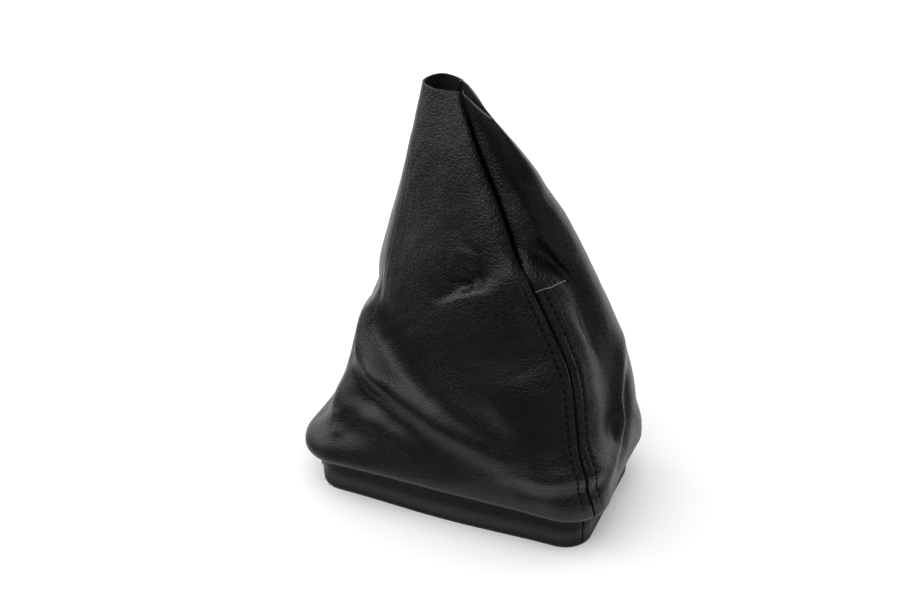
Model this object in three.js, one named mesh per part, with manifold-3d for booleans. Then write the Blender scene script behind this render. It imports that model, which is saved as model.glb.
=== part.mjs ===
// Gear lever gaiter: a stitched leather sleeve with its skirt wrapped over a plastic frame.
// Millimetres, +Z up, the long front side towards -Y.
// The origin is the middle of the frame's underside.

import * as THREE from 'three';
import { mergeVertices } from 'three/addons/utils/BufferGeometryUtils.js';
import Module from 'manifold-3d';

// Footprint, measured over the leather band.
const BASE_LENGTH = 144;
const BASE_WIDTH = 82;
const CORNER_RADIUS = 14;
const LONG_SIDE_BOW = 1.8;

// Heights.
const LIP_HEIGHT = 1.3;
const BAND_TOP = 19;
const ROLL_RISE = 5;
const MOUTH_HEIGHT = 206;

// Sheet, seams and thread.
const LEATHER = 1.2;
const ALLOWANCE = 8;
const GROOVE_DEPTH = 0.6;
const GROOVE_HALF_WIDTH = 1.8;
const STITCH_OFFSET = 5;
const THREAD_DIAMETER = 0.7;
const THREAD_TAIL = 13;

// Frame and clearances.
const CLEARANCE = 0.3;
const FRAME_WALL = 2.5;
const FRAME_BELOW_BAND_TOP = 0.8;
const BARB_LENGTH = 3;
const BARB_HEIGHT = 4;
const BARB_MIDDLE_HEIGHT = 7;
const BARB_FROM_FRONT = 11;
const BARB_PROUD = 0.8;

// Places around the sleeve are turns: 0 is the front right corner, which carries the main seam,
// 0.25 the rear right, 0.5 the rear left, which carries the second seam, and 0.75 the front left.
const FRONT_SEAM = 0;
const REAR_SEAM = 0.5;

// Levels on the sleeve run from 0 at the widest roll to 1 at the mouth.
// They are minus on the roll's underside, down to ROLL_END, and the band lies below that.
const ROLL_END = -0.5;
const HEM = -1;
const SOFT_START = 0.03;
const ALLOWANCE_START = 0.02;
const ALLOWANCE_END = 0.93;
const TOPSTITCH_START = 0.03;
const TOPSTITCH_END = 0.57;
const SEAM_DRIFT_LOW = 0.016;
const SEAM_DRIFT_HIGH = -0.006;
const SEAM_DRIFT_REACH = 0.2;

// The mouth's rim, as [turn, x, y] from the mouth's middle. The main seam is tucked inwards.
const MOUTH_MIDDLE = new THREE.Vector2(-11, 8);
const MOUTH_RIM = [
  [0, -3.2, 5.4],
  [0.03, 0.3, 3.2],
  [0.25, 23.9, -19.2],
  [0.36, 11.7, -1.2],
  [0.5, -6, 16.5],
  [0.62, -19.5, 21],
  [0.75, -23.7, 7.7],
  [0.965, -3.4, -1.9],
];

// How full the sleeve is at each corner and side: [turn, roll overhang, low bulge, high bulge].
const FULLNESS = [
  [0, 8.6, 10, 9],
  [0.125, 6.6, 7.5, 6.5],
  [0.25, 7, 9.5, 8],
  [0.375, 7.4, 6, 4.5],
  [0.5, 8, 4, 3.5],
  [0.625, 7.6, -0.5, 4],
  [0.75, 8.8, -10, -3],
  [0.875, 6, 2.5, 2],
];

// Folds as ridges, or hollows where the height is minus.
// line: [turn, level, height] points; left and right: reach on each side of it, facing up the line.
const FOLDS = [
  // Shelf across the lower front: a crease with a broad ridge below it.
  { line: [[-0.235, 0.44, -2], [-0.2, 0.32, -3], [-0.17, 0.27, -3], [-0.085, 0.18, -1]], left: 7, right: 7 },
  {
    line: [[-0.29, 0.38, 2], [-0.222, 0.3, 4.5], [-0.19, 0.215, 4.5], [-0.07, 0.15, 1.5]],
    left: 9,
    right: 11,
  },
  { line: [[-0.17, 0.14, -2.5], [-0.12, 0.1, -2.5]], left: 9, right: 9 },
  // Left end: pinched above the roll, full at the roll.
  { line: [[-0.243, 0.2, -2.5], [-0.245, 0.1, -2]], left: 6, right: 6 },
  { line: [[-0.4, 0.22, -3], [-0.28, 0.17, -4.5]], left: 9, right: 9 },
  { line: [[-0.36, 0.1, 3], [-0.27, 0.08, 3.5]], left: 9, right: 9 },
  { line: [[-0.34, 0.5, -2.5], [-0.27, 0.44, -2.5]], left: 12, right: 12 },
  // Crescent crease beside the upper end of the topstitching.
  { line: [[-0.012, 0.62, -2.5], [-0.038, 0.575, -4], [-0.08, 0.545, -1]], left: 6, right: 7 },
  { line: [[-0.006, 0.575, 2.5], [-0.03, 0.54, 3], [-0.09, 0.5, 1.5]], left: 7, right: 8 },
  // Plain seam above it, lying in a valley.
  { line: [[0, 0.6, -0.8], [0, 0.8, -2], [0, 1, -1]], left: 5, right: 5 },
  // Right end: hollow below a sharp ridge, and a nick on the upper edge.
  { line: [[0.025, 0.62, -1.5], [0.06, 0.6, -3.2], [0.12, 0.575, -2.5]], left: 8, right: 10 },
  { line: [[0.07, 0.72, 1], [0.1, 0.67, 2.8], [0.16, 0.62, 2.5]], left: 9, right: 8 },
  { line: [[0.17, 0.86, -1.5], [0.22, 0.81, -3.5]], left: 8, right: 8 },
  // Right end, low: two upright ridges with a hollow between them.
  { line: [[0.172, 0.38, 1.5], [0.177, 0.27, 3.5], [0.162, 0.15, 3.5], [0.1, 0.07, 2]], left: 8, right: 8 },
  { line: [[0.225, 0.3, 2], [0.225, 0.1, 3], [0.18, 0.03, 2]], left: 7, right: 7 },
  { line: [[0.205, 0.22, -2.5], [0.19, 0.12, -2]], left: 6, right: 6 },
  // Compression bump across the main seam.
  { line: [[-0.035, 0.12, 1.5], [0, 0.105, 2.2], [0.04, 0.09, 1.5]], left: 6, right: 7 },
  { line: [[-0.03, 0.175, -1.5], [0.03, 0.16, -1.5]], left: 6, right: 6 },
  // Back.
  { line: [[0.3, 0.62, -3], [0.37, 0.45, -4], [0.47, 0.36, -2]], left: 10, right: 10 },
  { line: [[0.3, 0.5, 2], [0.36, 0.33, 4], [0.46, 0.22, 3]], left: 11, right: 11 },
  { line: [[0.29, 0.2, -3], [0.4, 0.12, -3]], left: 9, right: 9 },
  { line: [[0.42, 0.8, 2], [0.46, 0.6, 2.5]], left: 9, right: 9 },
];

// Folds die out between the widest level, where the roll begins, and this level.
const FOLD_START = 0.06;

// Colours.
const LEATHER_COLOR = 0x1b1a1b;
const THREAD_COLOR = 0x141314;
const FRAME_COLOR = 0x101010;

// Mesh fineness.
const SHORT_SIDE_COLUMNS = 9;
const LONG_SIDE_COLUMNS = 16;
const CORNER_CROWDING = 1.25;
const BAND_ROWS = 2;
const ROLL_ROWS = 4;
const SLEEVE_ROWS = 27;
const THREAD_SIDES = 5;

const WIDEST_HEIGHT = BAND_TOP + ROLL_RISE;
const FRAME_INSET = LEATHER + CLEARANCE;
const HEM_HEIGHT = LIP_HEIGHT + CLEARANCE;
const EDGE_DISTANCES = [CLEARANCE / 2, GROOVE_HALF_WIDTH, STITCH_OFFSET, ALLOWANCE, ALLOWANCE + LEATHER];

const SLEEVE_RISE = MOUTH_HEIGHT - WIDEST_HEIGHT;

// Steps over which slopes are taken, in turns or levels.
const SLOPE_STEP = 0.002;
const EDGE_STEP = 0.01;

// The loose tail leaves the last stitch across the leather, outwards and upwards, in these shares.
const TAIL_DIRECTION = { across: 0.7, outward: 0.6, up: 0.4 };

const wasm = await Module();
wasm.setup();

// Footprint point and its outward direction at a turn. Each quarter of a turn is one side.
function footprint(turn, inset = 0) {
  const wrapped = THREE.MathUtils.euclideanModulo(turn, 1) * 4;
  const side = Math.floor(wrapped);
  const halfLength = BASE_LENGTH / 2 - CORNER_RADIUS;
  const halfWidth = BASE_WIDTH / 2 - CORNER_RADIUS;
  const centres = [[1, -1], [1, 1], [-1, 1], [-1, -1]];
  const centre = (k) => new THREE.Vector2(centres[k % 4][0] * halfLength, centres[k % 4][1] * halfWidth);
  const from = centre(side);
  const to = centre(side + 1);
  const run = to.clone().sub(from);
  const straight = run.length();
  run.normalize();
  const facing = Math.atan2(-run.x, run.y);
  const halfArc = CORNER_RADIUS * Math.PI / 4;
  const along = (wrapped - side) * (straight + 2 * halfArc);
  const long = side % 2 === 1;
  const reach = CORNER_RADIUS - inset;
  if (along < halfArc || along > halfArc + straight) {
    const atStart = along < halfArc;
    const arc = atStart ? along / CORNER_RADIUS - Math.PI / 4 : (along - halfArc - straight) / CORNER_RADIUS;
    const out = new THREE.Vector2(Math.cos(facing + arc), Math.sin(facing + arc));
    return { point: (atStart ? from : to).clone().addScaledVector(out, reach), out };
  }
  const share = (along - halfArc) / straight;
  const out = new THREE.Vector2(Math.cos(facing), Math.sin(facing));
  const bow = long ? LONG_SIDE_BOW * Math.sin(Math.PI * share) ** 2 : 0;
  const point = from.clone().addScaledVector(run, along - halfArc).addScaledVector(out, reach + bow);
  return { point, out };
}

// Smooth closed course through rows of [turn, value, value...], read at a turn.
function aroundValues(rows, turn) {
  const count = rows.length;
  const wrapped = THREE.MathUtils.euclideanModulo(turn, 1);
  const row = (k) => rows[THREE.MathUtils.euclideanModulo(k, count)];
  const place = (k) => row(k)[0] + Math.floor(k / count);
  let k = count - 1;
  while (rows[k][0] > wrapped) {
    k -= 1;
  }
  const gap = place(k + 1) - place(k);
  const s = (wrapped - place(k)) / gap;
  return row(k).slice(1).map((value, i) => {
    const next = row(k + 1)[i + 1];
    const slope = gap * (next - row(k - 1)[i + 1]) / (place(k + 1) - place(k - 1));
    const nextSlope = gap * (row(k + 2)[i + 1] - value) / (place(k + 2) - place(k));
    const rise = (3 - 2 * s) * s * s;
    return value * (1 - rise) + next * rise + slope * s * (1 - s) ** 2 - nextSlope * s * s * (1 - s);
  });
}

// Bulges that are 1 at their fullest, a third and two thirds of the way up.
const bulgeLow = (t) => t * (1 - t) ** 2 * 27 / 4;
const bulgeHigh = (t) => t * t * (1 - t) * 27 / 4;

// The main seam wanders off its corner, and the leather near it goes along.
function driftedTurn(turn, level) {
  const t = THREE.MathUtils.clamp(level, 0, 1);
  const near = THREE.MathUtils.euclideanModulo(turn + 0.5, 1) - 0.5;
  const share = Math.min(Math.abs(near) / SEAM_DRIFT_REACH, 1);
  const fall = Math.cos(share * Math.PI / 2) ** 2;
  return turn + fall * (SEAM_DRIFT_LOW * bulgeLow(t) + SEAM_DRIFT_HIGH * bulgeHigh(t));
}

// Sleeve without its folds.
function plainPoint(turn, level) {
  const { point, out } = footprint(driftedTurn(turn, level));
  const [overhang, low, high] = aroundValues(FULLNESS, turn);
  if (level <= ROLL_END) {
    const share = (level - HEM) / (ROLL_END - HEM);
    return new THREE.Vector3(point.x, point.y, THREE.MathUtils.lerp(HEM_HEIGHT, BAND_TOP, share));
  }
  if (level <= 0) {
    const angle = level / ROLL_END * Math.PI / 2;
    const reach = overhang * Math.cos(angle);
    const z = WIDEST_HEIGHT - ROLL_RISE * Math.sin(angle);
    return new THREE.Vector3(point.x + out.x * reach, point.y + out.y * reach, z);
  }
  const eased = (level - SOFT_START * (1 - Math.exp(-level / SOFT_START))) / (1 - SOFT_START);
  const [rimX, rimY] = aroundValues(MOUTH_RIM, turn);
  const reach = overhang * (1 - eased) + low * bulgeLow(eased) + high * bulgeHigh(eased);
  return new THREE.Vector3(
    THREE.MathUtils.lerp(point.x, rimX + MOUTH_MIDDLE.x, eased) + out.x * reach,
    THREE.MathUtils.lerp(point.y, rimY + MOUTH_MIDDLE.y, eased) + out.y * reach,
    THREE.MathUtils.lerp(WIDEST_HEIGHT, MOUTH_HEIGHT, level),
  );
}

function normalOf(surface, turn, level) {
  const across = surface(turn + SLOPE_STEP, level).sub(surface(turn - SLOPE_STEP, level));
  const above = Math.min(level + SLOPE_STEP, 1);
  const below = Math.max(level - SLOPE_STEP, HEM);
  const up = surface(turn, above).sub(surface(turn, below));
  return across.cross(up).normalize();
}

// Height of all the folds at a place. Distances are taken on the sleeve laid flat.
const BASE_GIRTH = 2 * (BASE_LENGTH + BASE_WIDTH) - (8 - 2 * Math.PI) * CORNER_RADIUS;
const MOUTH_GIRTH = MOUTH_RIM.reduce((sum, [, x, y], k) => {
  const [, nextX, nextY] = MOUTH_RIM[(k + 1) % MOUTH_RIM.length];
  return sum + Math.hypot(nextX - x, nextY - y);
}, 0);

function foldHeight(turn, level) {
  if (level < 0) {
    return 0;
  }
  const girth = THREE.MathUtils.lerp(BASE_GIRTH, MOUTH_GIRTH, level);
  let total = 0;
  for (const { line, left, right } of FOLDS) {
    let nearest = Infinity;
    let height = 0;
    let reach = left;
    for (let k = 0; k + 1 < line.length; k += 1) {
      const [turnA, levelA, heightA] = line[k];
      const [turnB, levelB, heightB] = line[k + 1];
      const offset = THREE.MathUtils.euclideanModulo(turn - turnA + 0.5, 1) - 0.5;
      const px = offset * girth;
      const py = (level - levelA) * SLEEVE_RISE;
      const dx = (turnB - turnA) * girth;
      const dy = (levelB - levelA) * SLEEVE_RISE;
      const share = THREE.MathUtils.clamp((px * dx + py * dy) / (dx * dx + dy * dy), 0, 1);
      const distance = Math.hypot(px - share * dx, py - share * dy);
      if (distance < nearest) {
        nearest = distance;
        height = THREE.MathUtils.lerp(heightA, heightB, share);
        reach = dx * py - dy * px > 0 ? left : right;
      }
    }
    total += height * Math.exp(-((nearest / reach) ** 2));
  }
  return total * THREE.MathUtils.smoothstep(level, 0, FOLD_START);
}

function sleevePoint(turn, level) {
  const height = foldHeight(turn, level);
  return plainPoint(turn, level).addScaledVector(normalOf(plainPoint, turn, level), height);
}

// Turn at a distance from a seam, measured along the sleeve. Side is 1 or -1.
function turnFromSeam(seam, side, distance, level) {
  const beside = plainPoint(seam + side * EDGE_STEP, level);
  const speed = beside.distanceTo(plainPoint(seam, level)) / EDGE_STEP;
  return seam + side * distance / speed;
}

// Turns of a panel's columns at a level: close beside both seams and round the corner between them.
function columnTurns(fromSeam, level) {
  const toSeam = fromSeam + 0.5;
  const corner = fromSeam + 0.25;
  const start = EDGE_DISTANCES.map((distance) => turnFromSeam(fromSeam, 1, distance, level));
  const end = EDGE_DISTANCES.map((distance) => turnFromSeam(toSeam, -1, distance, level));
  const turns = [...start];
  for (let i = SHORT_SIDE_COLUMNS - 1; i > 0; i -= 1) {
    turns.push(THREE.MathUtils.lerp(corner, start.at(-1), (i / SHORT_SIDE_COLUMNS) ** CORNER_CROWDING));
  }
  for (let i = 0; i < LONG_SIDE_COLUMNS; i += 1) {
    turns.push(THREE.MathUtils.lerp(corner, end.at(-1), (i / LONG_SIDE_COLUMNS) ** CORNER_CROWDING));
  }
  return turns.concat(end.toReversed());
}

// Levels of a panel's rows, from the hem up.
function rowLevels() {
  const levels = [];
  for (let i = 0; i < BAND_ROWS; i += 1) {
    levels.push(THREE.MathUtils.lerp(HEM, ROLL_END, i / BAND_ROWS));
  }
  for (let i = 0; i < ROLL_ROWS; i += 1) {
    levels.push(THREE.MathUtils.lerp(ROLL_END, 0, i / ROLL_ROWS));
  }
  for (let i = 0; i <= SLEEVE_ROWS; i += 1) {
    levels.push(i / SLEEVE_ROWS);
  }
  return levels;
}

// Closed body from rings of points: every ring has as many points, and both ends are capped.
function bodyFromRings(rings, closedLoop = false) {
  const size = rings[0].length;
  const positions = rings.flat().flatMap((p) => [p.x, p.y, p.z]);
  const index = [];
  const bands = closedLoop ? rings.length : rings.length - 1;
  for (let r = 0; r < bands; r += 1) {
    const next = (r + 1) % rings.length;
    for (let i = 0; i < size; i += 1) {
      const j = (i + 1) % size;
      index.push(r * size + i, next * size + j, r * size + j);
      index.push(r * size + i, next * size + i, next * size + j);
    }
  }
  return { positions, index };
}

function geometryFrom({ positions, index }) {
  const geometry = new THREE.BufferGeometry();
  geometry.setAttribute('position', new THREE.Float32BufferAttribute(positions, 3));
  geometry.setIndex(index);
  geometry.computeVertexNormals();
  return geometry;
}

// One leather panel from a seam to the next, folded back on itself along each seam.
// Each ring of the body goes up the outer face of a column and down its inner face.
function panelGeometry(fromSeam) {
  const levels = rowLevels();
  const turnsAt = levels.map((level) => columnTurns(fromSeam, level));
  const count = turnsAt[0].length;
  const rings = [];
  for (let column = 0; column < count; column += 1) {
    const distance = EDGE_DISTANCES[Math.min(column, count - 1 - column)] ?? Infinity;
    const outer = [];
    const inner = [];
    levels.forEach((level, row) => {
      const turn = turnsAt[row][column];
      const point = sleevePoint(turn, level);
      const normal = normalOf(sleevePoint, turn, level);
      const folded = distance <= ALLOWANCE && level > ALLOWANCE_START && level < ALLOWANCE_END;
      const dip = distance < GROOVE_HALF_WIDTH && level >= 0 ? GROOVE_DEPTH : 0;
      const depth = folded ? 2 * LEATHER : LEATHER;
      outer.push(point.clone().addScaledVector(normal, -dip));
      inner.push(point.clone().addScaledVector(normal, -Math.max(depth, dip + LEATHER)));
    });
    rings.push(outer.concat(inner.toReversed()));
  }
  const body = bodyFromRings(rings);
  const size = rings[0].length;
  const rows = levels.length;
  const end = (rings.length - 1) * size;
  for (let i = 0; i + 1 < rows; i += 1) {
    const opposite = size - 1 - i;
    body.index.push(opposite, i, i + 1);
    body.index.push(opposite, i + 1, opposite - 1);
    body.index.push(end + opposite, end + i + 1, end + i);
    body.index.push(end + opposite, end + opposite - 1, end + i + 1);
  }
  return geometryFrom(body);
}

// Thread laid along one side of a seam, over the outer face, with an optional loose tail.
function threadGeometry(seam, side, tail) {
  const levels = rowLevels().filter((level) => level >= TOPSTITCH_START && level <= TOPSTITCH_END);
  const lift = THREAD_DIAMETER / 2 + CLEARANCE;
  const path = levels.map((level) => {
    const turn = turnFromSeam(seam, side, STITCH_OFFSET, level);
    return sleevePoint(turn, level).addScaledVector(normalOf(sleevePoint, turn, level), lift);
  });
  if (tail > 0) {
    const top = path[path.length - 1];
    const away = normalOf(sleevePoint, seam, TOPSTITCH_END);
    const across = new THREE.Vector3(0, 0, 1).cross(away).normalize().multiplyScalar(side);
    for (const share of [0.5, 1]) {
      const reach = share * tail;
      const point = top.clone()
        .addScaledVector(across, TAIL_DIRECTION.across * reach)
        .addScaledVector(away, TAIL_DIRECTION.outward * reach);
      point.z += TAIL_DIRECTION.up * reach;
      path.push(point);
    }
  }
  const rings = path.map((point, k) => {
    const before = path[Math.max(k - 1, 0)];
    const after = path[Math.min(k + 1, path.length - 1)];
    const ahead = after.clone().sub(before).normalize();
    const sideways = ahead.clone().cross(new THREE.Vector3(point.x, point.y, 0)).normalize();
    const outward = sideways.clone().cross(ahead);
    return Array.from({ length: THREAD_SIDES }, (_, i) => {
      const angle = i / THREAD_SIDES * 2 * Math.PI;
      const radius = THREAD_DIAMETER / 2;
      return point.clone()
        .addScaledVector(sideways, radius * Math.cos(angle))
        .addScaledVector(outward, radius * Math.sin(angle));
    });
  });
  const body = bodyFromRings(rings);
  const end = (rings.length - 1) * THREAD_SIDES;
  for (let i = 1; i + 1 < THREAD_SIDES; i += 1) {
    body.index.push(0, i, i + 1);
    body.index.push(end, end + i + 1, end + i);
  }
  return geometryFrom(body);
}

// Rounded-rectangle frame: a wall inside the band, and a lip that the leather's hem stands on.
function frameRing() {
  const top = BAND_TOP - FRAME_BELOW_BAND_TOP;
  const inner = FRAME_INSET + FRAME_WALL;
  const section = [
    [0, 0],
    [0, LIP_HEIGHT],
    [FRAME_INSET, LIP_HEIGHT],
    [FRAME_INSET, top],
    [inner, top],
    [inner, 0],
  ];
  const turns = [...columnTurns(FRONT_SEAM, HEM), ...columnTurns(REAR_SEAM, HEM)];
  const rings = turns.map((turn) => section.map(([inset, z]) => {
    const { point } = footprint(turn, inset);
    return new THREE.Vector3(point.x, point.y, z);
  }));
  return geometryFrom(bodyFromRings(rings, true));
}

// Box around the barb that holds the leather on the frame's left wall.
function barbBox(extra, from, to) {
  const box = new THREE.BoxGeometry(to - from, BARB_LENGTH + 2 * extra, BARB_HEIGHT + 2 * extra);
  box.translate(-(from + to) / 2, BARB_FROM_FRONT - BASE_WIDTH / 2, BARB_MIDDLE_HEIGHT);
  return box;
}

function solidFrom(geometry) {
  const bare = geometry.clone();
  bare.deleteAttribute('normal');
  bare.deleteAttribute('uv');
  const merged = mergeVertices(bare, 1e-4);
  const vertProperties = new Float32Array(merged.attributes.position.array);
  const triVerts = new Uint32Array(merged.index.array);
  return new wasm.Manifold(new wasm.Mesh({ numProp: 3, vertProperties, triVerts }));
}

function geometryOf(solid) {
  const { vertProperties, triVerts } = solid.getMesh();
  return geometryFrom({ positions: Array.from(vertProperties), index: Array.from(triVerts) });
}

const model = new THREE.Group();

function addPiece(name, geometry, color, roughness) {
  const material = new THREE.MeshStandardMaterial({ color, roughness, metalness: 0 });
  const mesh = new THREE.Mesh(geometry, material);
  mesh.name = name;
  model.add(mesh);
}

const wallOuter = BASE_LENGTH / 2 - FRAME_INSET;
const barbTip = BASE_LENGTH / 2 + BARB_PROUD;
const barb = solidFrom(barbBox(0, wallOuter - FRAME_WALL / 2, barbTip));
const barbSlot = solidFrom(barbBox(CLEARANCE, wallOuter - FRAME_WALL / 2, barbTip + LEATHER));

const frontLeft = solidFrom(panelGeometry(REAR_SEAM)).subtract(barbSlot);
const frame = solidFrom(frameRing()).add(barb);

addPiece('front_left_panel', geometryOf(frontLeft), LEATHER_COLOR, 0.5);
addPiece('rear_right_panel', panelGeometry(FRONT_SEAM), LEATHER_COLOR, 0.5);
addPiece('retaining_frame', geometryOf(frame), FRAME_COLOR, 0.6);
addPiece('front_seam_thread_left', threadGeometry(FRONT_SEAM, -1, 0), THREAD_COLOR, 0.7);
addPiece('front_seam_thread_right', threadGeometry(FRONT_SEAM, 1, THREAD_TAIL), THREAD_COLOR, 0.7);
addPiece('rear_seam_thread_left', threadGeometry(REAR_SEAM, -1, 0), THREAD_COLOR, 0.7);
addPiece('rear_seam_thread_right', threadGeometry(REAR_SEAM, 1, 0), THREAD_COLOR, 0.7);

export default model;
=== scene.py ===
import bmesh
import bpy
import numpy as np
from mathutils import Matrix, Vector


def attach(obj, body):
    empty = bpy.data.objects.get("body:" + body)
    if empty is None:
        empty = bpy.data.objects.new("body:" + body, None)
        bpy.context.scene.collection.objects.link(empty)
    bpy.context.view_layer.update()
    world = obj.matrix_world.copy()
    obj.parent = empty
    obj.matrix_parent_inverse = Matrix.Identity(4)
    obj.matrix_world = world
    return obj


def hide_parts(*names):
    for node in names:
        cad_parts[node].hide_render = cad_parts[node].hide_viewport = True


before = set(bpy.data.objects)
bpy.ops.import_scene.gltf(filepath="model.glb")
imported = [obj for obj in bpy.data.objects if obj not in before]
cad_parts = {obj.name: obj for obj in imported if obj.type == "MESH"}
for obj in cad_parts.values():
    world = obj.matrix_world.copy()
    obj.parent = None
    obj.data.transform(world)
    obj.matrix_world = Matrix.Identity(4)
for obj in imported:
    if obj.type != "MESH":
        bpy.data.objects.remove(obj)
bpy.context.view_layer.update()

MM = 0.001

# Footprint over the leather band, heights and sheet: the same driving sizes as the solids.
BASE_LENGTH = 144.0
BASE_WIDTH = 82.0
CORNER_RADIUS = 14.0
LONG_SIDE_BOW = 1.8
LIP_HEIGHT = 1.3
BAND_TOP = 19.0
ROLL_RISE = 5.0
MOUTH_HEIGHT = 206.0
LEATHER = 1.2
ALLOWANCE = 8.0
STITCH_OFFSET = 5.0
CLEARANCE = 0.3
FRAME_WALL = 2.5
FRAME_BELOW_BAND_TOP = 0.8
BARB_LENGTH = 3.0
BARB_HEIGHT = 4.0
BARB_MIDDLE_HEIGHT = 7.0
BARB_FROM_FRONT = 11.0
BARB_PROUD = 0.8
WIDEST_HEIGHT = BAND_TOP + ROLL_RISE
HEM_HEIGHT = LIP_HEIGHT + CLEARANCE
FRAME_INSET = LEATHER + CLEARANCE
SLEEVE_RISE = MOUTH_HEIGHT - WIDEST_HEIGHT

# Turns: 0 is the front right corner and its seam, 0.25 the rear right, 0.5 the rear left and its
# seam, 0.75 the front left. Levels: HEM to ROLL_END on the band, to 0 under the roll, 1 the mouth.
FRONT_SEAM = 0.0
REAR_SEAM = 0.5
ROLL_END = -0.5
HEM = -1.0
SOFT_START = 0.03
CORNER_SOFTENING = 12.0
SOFTENED_LEVEL = 0.6
# The sleeve's corners ease out with height: turns between the points averaged, and their shares.
EASING_STEP = 0.02
EASED_LEVEL = 0.6
EASING_WEIGHTS = [0.26, 0.2, 0.12, 0.05]
ALLOWANCE_START = 0.02
ALLOWANCE_END = 0.93
TOPSTITCH_START = 0.03
TOPSTITCH_END = 0.57
SEAM_DRIFT_REACH = 0.2
FOLD_START = 0.06

# The mouth's rim, as turn, x and y from the mouth's middle.
MOUTH_MIDDLE = (-11.0, 8.0)
MOUTH_RIM = [
    (0, -1.7, -2.8),
    (0.25, 23.9, -19.2),
    (0.36, 8.7, -0.8),
    (0.5, -6, 16.5),
    (0.62, -19.5, 21),
    (0.75, -23.7, 7.7),
]

# Level and the turn by which the main seam drifts round the footprint there.
SEAM_DRIFT = [
    (0, 0.01), (0.06, 0.0065), (0.12, 0.005), (0.25, 0.012), (0.4, 0.0265),
    (0.5, 0.025), (0.6, 0.016), (0.8, 0.0135), (1, 0),
]

# Pleat along the main seam, as level, depth, reach to the left and reach to the right of it.
PLEAT = [
    (0.5, 0, 3, 4),
    (0.6, 1.3, 4, 4),
    (0.7, 2, 6, 6),
    (0.85, 3.4, 12, 14),
    (1, 7, 20, 28),
]
PLEAT_DIRECTION = (-0.18, 0.984)
PLEAT_SHARPNESS = 1.4

# Turn, roll overhang, low bulge and high bulge.
FULLNESS = [
    (0, 8.6, 10.7, 7.5),
    (0.125, 6.6, 7.5, 6.5),
    (0.25, 7, 8, 13.5),
    (0.375, 7.4, 6, 4.5),
    (0.5, 8, 4, 3.5),
    (0.625, 7.6, -0.5, 2),
    (0.75, 8.8, -10, -3),
    (0.875, 6, 2.5, 2.5),
]

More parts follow.
